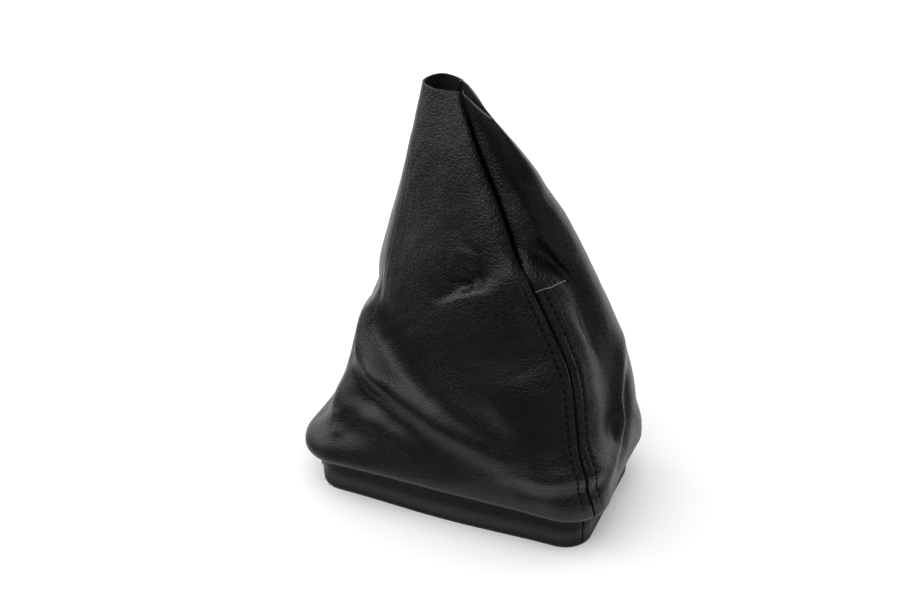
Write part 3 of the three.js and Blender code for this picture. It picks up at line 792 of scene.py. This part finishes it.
def leather_material():
    material = bpy.data.materials.new("grained_leather")
    n = Nodes(material)
    place = n.place()
    bend = n.add("ShaderNodeTexNoise", {"Vector": place, "Scale": GRAIN_BEND_SCALE}).outputs["Color"]
    bend = n.vector("SUBTRACT", bend, (0.5, 0.5, 0.5))
    bent = n.vector("ADD", place, n.scaled(bend, GRAIN_BEND))

    # 0 along the edges of a net of cells and 1 inside them.
    def cells(scale):
        inputs = {"Vector": bent, "Scale": scale}
        net = n.add("ShaderNodeTexVoronoi", inputs, feature="DISTANCE_TO_EDGE")
        return n.ramp(net.outputs["Distance"], 0.0, 0.2)

    pebble = cells(1 / GRAIN_SIZE)
    creases = n.math("MULTIPLY", cells(CREASES_PER_PEBBLE / GRAIN_SIZE), CREASE_SHARE)
    height = n.math("ADD", n.math("MULTIPLY", pebble, 1 - CREASE_SHARE), creases)
    pores = n.noise(place, PORE_SIZE, 3.0)
    height = n.math("ADD", height, n.math("MULTIPLY", pores, PORE_SHARE))
    # The grain is pulled flatter in patches and stands up where the leather is crowded.
    flatter = n.ramp(n.noise(place, PATCH_SIZE, 1.0), *PATCH, 1.0, FLATTER_PATCH)
    crowded = n.math("ADD", n.math("MULTIPLY", n.value("crowded"), CROWDED_GAIN), UNCROWDED_GRAIN)
    n.bump(n.math("MULTIPLY", n.math("MULTIPLY", height, flatter), crowded), 1.0, GRAIN_DEPTH)

    blotch = n.noise(place, PATCH_SIZE, 3.0, 0.6)
    tone = n.mix(n.ramp(blotch, *PATCH), LEATHER_LOW, LEATHER_HIGH)
    tone = n.mix(n.ramp(pebble, 0.0, 0.6), LEATHER_CREASE, tone)
    # Painted highlight: the tone is lightened on rounded ridges, which are also made smoother.
    ridge_bend = n.ramp(n.value("ridge_bend"), 0.15, 0.9)
    tone = n.mix(n.math("MULTIPLY", ridge_bend, RIDGE_HIGHLIGHT_SHARE), tone, LEATHER_RIDGE_HIGHLIGHT)

    rough = n.ramp(blotch, *PATCH, *LEATHER_ROUGHNESS)
    rough = n.math("ADD", rough, n.ramp(pebble, 0.0, 0.5, CREASE_ROUGHNESS, 0.0))
    rough = n.math("SUBTRACT", rough, n.math("MULTIPLY", ridge_bend, RIDGE_SMOOTHNESS))
    rough = n.math("SUBTRACT", rough, n.math("MULTIPLY", n.value("band_rise"), TIGHT_SMOOTHNESS))

    # How far a point lies in the seam line or in a stitch hole, where painted shade cuts the specular
    # level.
    seam = n.value("seam_distance")
    off_row = n.math("ABSOLUTE", n.math("SUBTRACT", seam, STITCH_OFFSET))
    stitches = n.math("FRACT", n.math("DIVIDE", n.value("seam_run"), STITCH_PITCH))
    from_hole = n.math("SUBTRACT", 0.5, n.math("ABSOLUTE", n.math("SUBTRACT", stitches, 0.5)))
    hole = n.ramp(from_hole, 0.1, 0.28, 1.0, 0.35)
    row = n.math("MULTIPLY", n.ramp(off_row, 0.3, 0.8, 1.0, 0.0), n.value("stitched"))
    seam_and_hole_shade = n.math("MAXIMUM", n.math("MULTIPLY", row, hole), n.ramp(seam, 0.3, 0.9, 1.0, 0.0))
    # Painted shade: the specular level drops in the seam line and in the stitch holes.
    shine = n.ramp(seam_and_hole_shade, 0.0, 1.0, LEATHER_SPECULAR, HOLE_SHADE_SPECULAR)
    n.surface({
        "Base Color": tone,
        "Roughness": n.math("ADD", rough, n.math("MULTIPLY", seam_and_hole_shade, SUNK_ROUGHNESS)),
        # Painted shade: the specular level falls at the top of the band under the roll, and in the
        # seam line and stitch holes.
        "Specular IOR Level": n.math(
            "MULTIPLY", shine, n.ramp(n.value("band_rise"), 0.25, 0.6, 1.0, UNDER_ROLL_SHADE_SHARE)
        ),
    })
    return material


def backing_material():
    material = bpy.data.materials.new("leather_flesh_side")
    n = Nodes(material)
    place = n.place()
    nap = n.noise(place, 0.5, 4.0, 0.7)
    patch = n.noise(place, 12.0, 3.0)
    tone = n.mix(n.ramp(patch, *PATCH), grey(0.006, 0.03), grey(0.010, 0.03))
    n.surface({
        "Base Color": n.mix(n.ramp(nap, 0.35, 0.65), grey(0.004, 0.03), tone),
        "Roughness": 0.92,
        "Specular IOR Level": 0.15,
        "Sheen Weight": 0.03,
    })
    n.bump(nap, 0.8, 0.25)
    return material


def cut_edge_material():
    material = bpy.data.materials.new("leather_cut_edge")
    n = Nodes(material)
    fibre = n.noise(n.place(), 0.4, 4.0, 0.65)
    n.surface({
        "Base Color": n.mix(n.ramp(fibre, *PATCH), grey(0.006, 0.02), grey(0.02, 0.02)),
        "Roughness": n.ramp(fibre, *PATCH, 0.35, 0.6),
    })
    n.bump(fibre, 0.5, 0.12)
    return material


# The plies wind round the thread: they slope by turns round it and turns per millimetre along it.
PLIES = 2.0
PLIES_PER_MM = 1.6


def thread_material():
    material = bpy.data.materials.new("twisted_thread")
    n = Nodes(material)
    flat = n.add("ShaderNodeUVMap", uv_map="thread").outputs[0]
    around, along = n.add("ShaderNodeSeparateXYZ", {0: flat}).outputs[:2]
    slope = n.math("ADD", n.math("MULTIPLY", around, PLIES), n.math("MULTIPLY", along, PLIES_PER_MM))
    ply = n.math("SINE", n.math("MULTIPLY", slope, 2 * np.pi))
    ply = n.math("ADD", n.math("MULTIPLY", ply, 0.5), 0.5)
    sewn = n.mix(ply, grey(0.003), grey(0.008))
    # The loose end is given a paler grey than the sewn thread.
    pale_tail = n.mix(ply, grey(0.05), grey(0.22))
    n.surface({
        "Base Color": n.mix(n.value("loose"), sewn, pale_tail),
        "Roughness": 0.6,
        "Specular IOR Level": 0.25,
    })
    fuzz = n.noise(n.place(), 0.12, 3.0)
    n.bump(n.math("ADD", ply, n.math("MULTIPLY", fuzz, 0.3)), 0.8, 0.1)
    return material


def frame_material():
    material = bpy.data.materials.new("moulded_plastic")
    n = Nodes(material)
    place = n.place()
    cloud = n.noise(place, 22.0, 3.0)
    n.surface({
        "Base Color": n.mix(n.ramp(cloud, *PATCH), grey(0.008), grey(0.014)),
        "Roughness": n.ramp(cloud, *PATCH, 0.45, 0.6),
    })
    n.bump(n.noise(place, 0.5, 3.0, 0.6), 0.35, 0.08)
    return material


# Tube round a path of points, with round ends. Radii may change along it.
def tube(path, radii, sides, outward):
    path = np.asarray(path, float)
    ahead = np.gradient(path, axis=0)
    ahead /= np.linalg.norm(ahead, axis=1, keepdims=True)
    sideways = np.cross(ahead, outward)
    sideways /= np.linalg.norm(sideways, axis=1, keepdims=True)
    over = np.cross(sideways, ahead)
    angle = np.arange(sides) / sides * 2 * np.pi
    cosine, sine = np.cos(angle)[None, :, None], np.sin(angle)[None, :, None]
    ring = sideways[:, None] * cosine + over[:, None] * sine
    points = path[:, None] + ring * np.asarray(radii, float)[:, None, None]
    vertices = points.reshape(-1, 3)
    index = np.arange(len(vertices)).reshape(len(path), sides)
    beside = np.roll(index, -1, 1)
    faces = np.stack([index[:-1], beside[:-1], beside[1:], index[1:]], -1).reshape(-1, 4).tolist()
    faces.append(index[0][::-1].tolist())
    faces.append(index[-1].tolist())
    run = np.concatenate([[0], np.cumsum(np.linalg.norm(np.diff(path, axis=0), axis=1))])
    flat = np.stack(np.broadcast_arrays(angle[None, :] / (2 * np.pi), run[:, None]), -1).reshape(-1, 2)
    return vertices, faces, flat


# One object from tubes. The last ones, as many as loose says, are marked as loose thread.
def joined(name, bodies, material, loose=0):
    vertices, faces, flats, looseness = [], [], [], []
    offset = 0
    for k, (body_vertices, body_faces, flat) in enumerate(bodies):
        looseness.append(np.full(len(body_vertices), float(k >= len(bodies) - loose)))
        vertices.append(body_vertices)
        flats.append(flat)
        faces.extend([[i + offset for i in face] for face in body_faces])
        offset += len(body_vertices)
    obj = mesh_object(name, np.concatenate(vertices), faces, [material])
    add_flat(obj.data, "thread", np.concatenate(flats))
    add_values(obj.data, "loose", np.concatenate(looseness))
    return obj


# One row of topstitching: each stitch is a short bowed thread from hole to hole.
def stitch_row(name, shape, first_side, material, tail=0.0):
    columns, mesh_rows = shape["level"].shape
    half = slice(0, columns // 2) if first_side else slice(columns // 2, columns)
    run = shape["seam_run"][0 if first_side else -1]
    level = shape["level"][0]
    stitched = np.nonzero((level >= TOPSTITCH_START) & (level <= TOPSTITCH_END))[0]

    # Point or normal in one row of the mesh, a distance away from the seam.
    def beside_seam(kind, row, away):
        column = shape["seam_distance"][half, row]
        order = np.argsort(column)
        return [np.interp(away, column[order], shape[kind][half, row, k][order]) for k in range(3)]

    line = np.array([beside_seam("outer", row, STITCH_OFFSET) for row in range(mesh_rows)])
    facing = np.array([beside_seam("normal", row, STITCH_OFFSET) for row in range(mesh_rows)])
    first = np.ceil(run[stitched[0]] / STITCH_PITCH)
    last = np.floor(run[stitched[-1]] / STITCH_PITCH)
    radius = THREAD_DIAMETER / 2
    share = np.linspace(-1, 1, STITCH_POINTS)
    lift = radius * (-STITCH_DEPTH - STITCH_END_DEPTH * np.abs(share) ** 4)
    radii = radius * (1 - STITCH_END_THINNING * np.abs(share) ** 6)
    bodies = []
    for k in np.arange(first, last):
        places = (k + 0.5) * STITCH_PITCH + share * STITCH_PITCH / 2 * STITCH_FILL
        path = np.stack([np.interp(places, run, line[:, i]) for i in range(3)], -1)
        out = np.stack([np.interp(places, run, facing[:, i]) for i in range(3)], -1)
        out /= np.linalg.norm(out, axis=1, keepdims=True)
        bodies.append(tube(path + out * lift[:, None], radii, THREAD_SIDES, out))
    if tail > 0:
        base, out = (beside_seam(kind, stitched[-1], TAIL_FROM_SEAM) for kind in ("outer", "normal"))
        bodies.append(thread_tail(base, out, tail))
    return joined(name, bodies, material, 1 if tail > 0 else 0)


# Loose end of the thread: it leaves the seam, kinks and runs up across the leather.
def thread_tail(base, out, length):
    out = np.array(out)
    out /= np.linalg.norm(out)
    side = np.cross([0, 0, 1.0], out)
    side /= np.linalg.norm(side)
    rise = np.cross(out, side)
    share = np.linspace(0, 1, TAIL_POINTS)[:, None]
    kink = TAIL_KINK * np.sin(share * TAIL_KINK_BENDS) * share * (1 - share)
    path = np.array(base) + side * (TAIL_SIDEWAYS * length * share)
    path = path + rise * (TAIL_RISE * length * share + kink)
    path = path + out * (TAIL_BASE_LIFT + TAIL_LIFT * length * share * (1 - TAIL_DROOP * share))
    radii = THREAD_DIAMETER / 2 * (TAIL_THICKNESS + TAIL_TWIST * np.sin(share[:, 0] * TAIL_TWISTS))
    radii[-len(TAIL_FRAYED_END):] *= TAIL_FRAYED_END
    return tube(path, radii, THREAD_SIDES, np.tile(out, (len(path), 1)))


# Retaining frame: the same section as the solid, with rounded edges, and its one barb.
def frame_object(material):
    top = BAND_TOP - FRAME_BELOW_BAND_TOP
    inner = FRAME_INSET + FRAME_WALL
    section = rounded_section([
        (0.0, 0.0, LIP_ROUNDING),
        (0.0, LIP_HEIGHT, LIP_ROUNDING),
        (FRAME_INSET, LIP_HEIGHT, 0.0),
        (FRAME_INSET, top, WALL_TOP_ROUNDING),
        (inner, top, WALL_TOP_ROUNDING),
        (inner, 0.0, WALL_FOOT_ROUNDING),
    ])
    turns = np.linspace(0, 1, FRAME_COLUMNS, endpoint=False)
    rings = []
    for inset, z in section:
        point, _ = footprint(turns, inset)
        rings.append(np.concatenate([point, np.full((len(turns), 1), z)], -1))
    points = np.stack(rings, 1)
    count, size = points.shape[:2]
    index = np.arange(count * size).reshape(count, size)
    across = np.roll(index, -1, 0)
    faces = np.stack([across, np.roll(across, -1, 1), np.roll(index, -1, 1), index], -1).reshape(-1, 4)
    vertices = points.reshape(-1, 3)
    barb_vertices, barb_faces = barb_body()
    faces = faces.tolist() + [[i + len(vertices) for i in face] for face in barb_faces]
    return mesh_object("frame_moulding", np.concatenate([vertices, barb_vertices]), faces, [material])


# Section corners (inset, height, radius) turned into a rounded outline.
def rounded_section(corners):
    outline = []
    for k, (x, z, radius) in enumerate(corners):
        here = np.array([x, z])
        if radius == 0:
            outline.append(here)
            continue
        before = np.array(corners[k - 1][:2]) - here
        after = np.array(corners[(k + 1) % len(corners)][:2]) - here
        before = before / np.linalg.norm(before)
        after = after / np.linalg.norm(after)
        for share in np.linspace(0, 1, ROUNDING_POINTS):
            angle = share * np.pi / 2
            reach = radius * (1 - np.array([np.sin(angle), np.cos(angle)]))
            outline.append(here + before * reach[0] + after * reach[1])
    return outline


# Barb that holds the leather on the frame's left wall: its vertices and faces.
def barb_body():
    tip = BASE_LENGTH / 2 + BARB_PROUD
    root = BASE_LENGTH / 2 - FRAME_INSET - FRAME_WALL / 2
    middle = np.array([-(tip + root) / 2, BARB_FROM_FRONT - BASE_WIDTH / 2, BARB_MIDDLE_HEIGHT])
    size = (tip - root, BARB_LENGTH, BARB_HEIGHT)
    work = bmesh.new()
    bmesh.ops.create_cube(work, size=1.0)
    for vertex in work.verts:
        vertex.co = Vector([vertex.co[i] * size[i] for i in range(3)])
    edges = work.edges[:]
    bmesh.ops.bevel(work, geom=edges, offset=BARB_ROUNDING, segments=3, affect="EDGES", profile=0.5)
    vertices = np.array([tuple(v.co) for v in work.verts]) + middle
    work.verts.index_update()
    faces = [[v.index for v in face.verts] for face in work.faces]
    work.free()
    return vertices, faces


# Camera and surroundings.
CAMERA_TARGET = np.array([-19.8, 26.8, 80.0])
CAMERA_AZIMUTH = np.radians(22.53)
CAMERA_ELEVATION = np.radians(31.69)
CAMERA_DISTANCE = 814.9
FOCAL_PIXELS = 1600.0
IMAGE_WIDTH = 920.0
SENSOR_WIDTH = 36.0

# Unit vector from the target to the camera.
CAMERA_BACK = np.array([
    np.sin(CAMERA_AZIMUTH) * np.cos(CAMERA_ELEVATION),
    -np.cos(CAMERA_AZIMUTH) * np.cos(CAMERA_ELEVATION),
    np.sin(CAMERA_ELEVATION),
])

# What the leather mirrors, in place of the plain white that other rays see: middle of each bright
# part, cosines where it ends and where it is full, and its strength. The low one fades with height.
DARK_STUDIO = 0.02
STUDIO_PATCHES = [
    ((-0.377, 0.91, 0.17), 0.3, 0.7, 1.3),
    ((-0.781, -0.246, 0.574), 0.75, 0.93, 0.85),
    ((-0.1, -0.5, 0.86), 0.78, 0.94, 0.8),
    ((-0.52, -0.82, 0.26), 0.75, 0.97, 0.15),
]
LOW_PATCH = ((0.999, 0.044, 0.0), 0.2, 0.7, 0.5)
LOW_PATCH_FADE = (0.1, 0.3)

# Lamps: name, place, target and size in metres, and power in watts.
LAMPS = [
    ("left_softbox", (-1.0, -0.1, 0.7), (0, 0, 0.08), (0.9, 0.9), 3.5),
    ("right_softbox", (0.75, 0.95, 0.25), (0, 0, 0.08), (0.9, 0.6), 1.2),
    ("overhead_softbox", (-0.1, -0.5, 1.1), (0, 0, 0.05), (1.0, 0.8), 3.0),
]

# Floor in metres, its greys as seen and as mirrored in the leather beside the part, where it carries a
# painted shadow, further off and on its dark side, the distances over which these change, and the
# cosines where the dark side starts.
FLOOR_SIZE = 1.6
FLOOR_SHIFT = 0.2
FLOOR_SEEN = grey(0.97)
FLOOR_MIRRORED_SHADOW = grey(0.35)
FLOOR_MIRRORED = grey(0.85)
FLOOR_DARK = grey(0.05)
MIRRORED_SHADOW_REACH = (0.0, 0.009)
DARK_FROM = (0.042, 0.075)
DARK_FLOOR_SIDE = (0.301, -0.954, 0.0)
DARK_SIDE_FADE = (-0.574, 0.0)


def make_camera():
    data = bpy.data.cameras.new("camera")
    data.sensor_width = SENSOR_WIDTH
    data.lens = FOCAL_PIXELS / IMAGE_WIDTH * SENSOR_WIDTH
    camera = link(bpy.data.objects.new("camera", data))
    camera.location = (CAMERA_TARGET + CAMERA_BACK * CAMERA_DISTANCE) * MM
    camera.rotation_euler = Vector(CAMERA_BACK).to_track_quat("Z", "Y").to_euler()
    bpy.context.scene.camera = camera


def area_light(name, place, target, size, power):
    data = bpy.data.lights.new(name, "AREA")
    data.shape = "RECTANGLE"
    data.size, data.size_y = size
    data.energy = power
    light = link(bpy.data.objects.new(name, data))
    light.location = place
    light.rotation_euler = (Vector(place) - Vector(target)).to_track_quat("Z", "Y").to_euler()


# White paper. Seen in the leather, it carries a painted shadow right beside the part and gives way to
# the dark studio a short way from it.
def floor_material():
    material = bpy.data.materials.new("floor_paper")
    n = Nodes(material)
    place = n.add("ShaderNodeTexCoord").outputs["Object"]
    x, y = n.add("ShaderNodeSeparateXYZ", {0: place}).outputs[:2]
    beside = n.math("SUBTRACT", n.math("ABSOLUTE", x), BASE_LENGTH / 2 * MM)
    before = n.math("ABSOLUTE", n.math("ADD", y, FLOOR_SHIFT))
    away = n.math("MAXIMUM", beside, n.math("SUBTRACT", before, BASE_WIDTH / 2 * MM))
    heading = n.vector("NORMALIZE", n.vector("ADD", place, (0.0, FLOOR_SHIFT, 0.0)))
    dark_side = n.ramp(n.cosine(heading, DARK_FLOOR_SIDE), *DARK_SIDE_FADE)
    # Painted shadow: in the leather, the mirrored floor is darker right beside the part.
    tone = n.mix(n.ramp(away, *MIRRORED_SHADOW_REACH), FLOOR_MIRRORED_SHADOW, FLOOR_MIRRORED)
    tone = n.mix(n.math("MULTIPLY", dark_side, n.ramp(away, *DARK_FROM)), tone, FLOOR_DARK)
    mirrored = n.add("ShaderNodeLightPath").outputs["Is Glossy Ray"]
    n.surface({
        "Base Color": n.mix(mirrored, FLOOR_SEEN, tone),
        "Roughness": 0.9,
        "Specular IOR Level": 0.0,
    })
    return material


# Brightness of the studio in one direction, as the leather mirrors it.
def mirrored_studio(n, direction):
    def patch(axis, end, full, strength):
        return n.ramp(n.cosine(direction, axis), end, full, 0.0, strength)

    total = DARK_STUDIO
    for row in STUDIO_PATCHES:
        total = n.math("MAXIMUM", total, patch(*row))
    height = n.add("ShaderNodeSeparateXYZ", {0: direction}).outputs[2]
    low = n.math("MULTIPLY", n.ramp(height, *LOW_PATCH_FADE, 1.0, 0.0), patch(*LOW_PATCH))
    return n.math("MAXIMUM", total, low)


# White for every ray but the glossy ones, which see the studio instead.
def make_world():
    world = bpy.data.worlds.new("studio")
    bpy.context.scene.world = world
    n = Nodes(world, "Background")
    ray = n.add("ShaderNodeLightPath").outputs
    seen = n.math("MAXIMUM", ray["Is Camera Ray"], ray["Is Transmission Ray"])
    direction = n.add("ShaderNodeTexCoord").outputs["Generated"]
    lit = n.mix_numbers(ray["Is Glossy Ray"], 1.0, mirrored_studio(n, direction))
    n.surface({"Color": (1, 1, 1, 1), "Strength": n.mix_numbers(seen, lit, 1.0)})


def make_floor():
    bpy.ops.mesh.primitive_plane_add(size=FLOOR_SIZE, location=(0, FLOOR_SHIFT, 0))
    floor = bpy.context.object
    floor.name = "studio_floor"
    floor.data.materials.append(floor_material())


leather = leather_material()
backing = backing_material()
cut_edge = cut_edge_material()
thread = thread_material()
plastic = frame_material()

front_left = panel_shape(REAR_SEAM)
rear_right = panel_shape(FRONT_SEAM)
skins = [leather, backing, cut_edge]
front_left_skin = panel_object("front_left_leather", front_left, skins)
rear_right_skin = panel_object("rear_right_leather", rear_right, skins)
moulding = frame_object(plastic)

rows = {
    "front_seam_thread_left": stitch_row("front_seam_stitches_left", front_left, False, thread),
    "front_seam_thread_right": stitch_row(
        "front_seam_stitches_right", rear_right, True, thread, THREAD_TAIL
    ),
    "rear_seam_thread_left": stitch_row("rear_seam_stitches_left", rear_right, False, thread),
    "rear_seam_thread_right": stitch_row("rear_seam_stitches_right", front_left, True, thread),
}
for node, row in rows.items():
    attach(row, "root")
    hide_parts(node)

for piece, node in ((front_left_skin, "front_left_panel"), (rear_right_skin, "rear_right_panel")):
    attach(piece, "root")
    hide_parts(node)
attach(moulding, "root")
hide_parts("retaining_frame")

make_camera()
for lamp in LAMPS:
    area_light(*lamp)
make_world()
make_floor()
bpy.context.scene.view_settings.view_transform = "Standard"
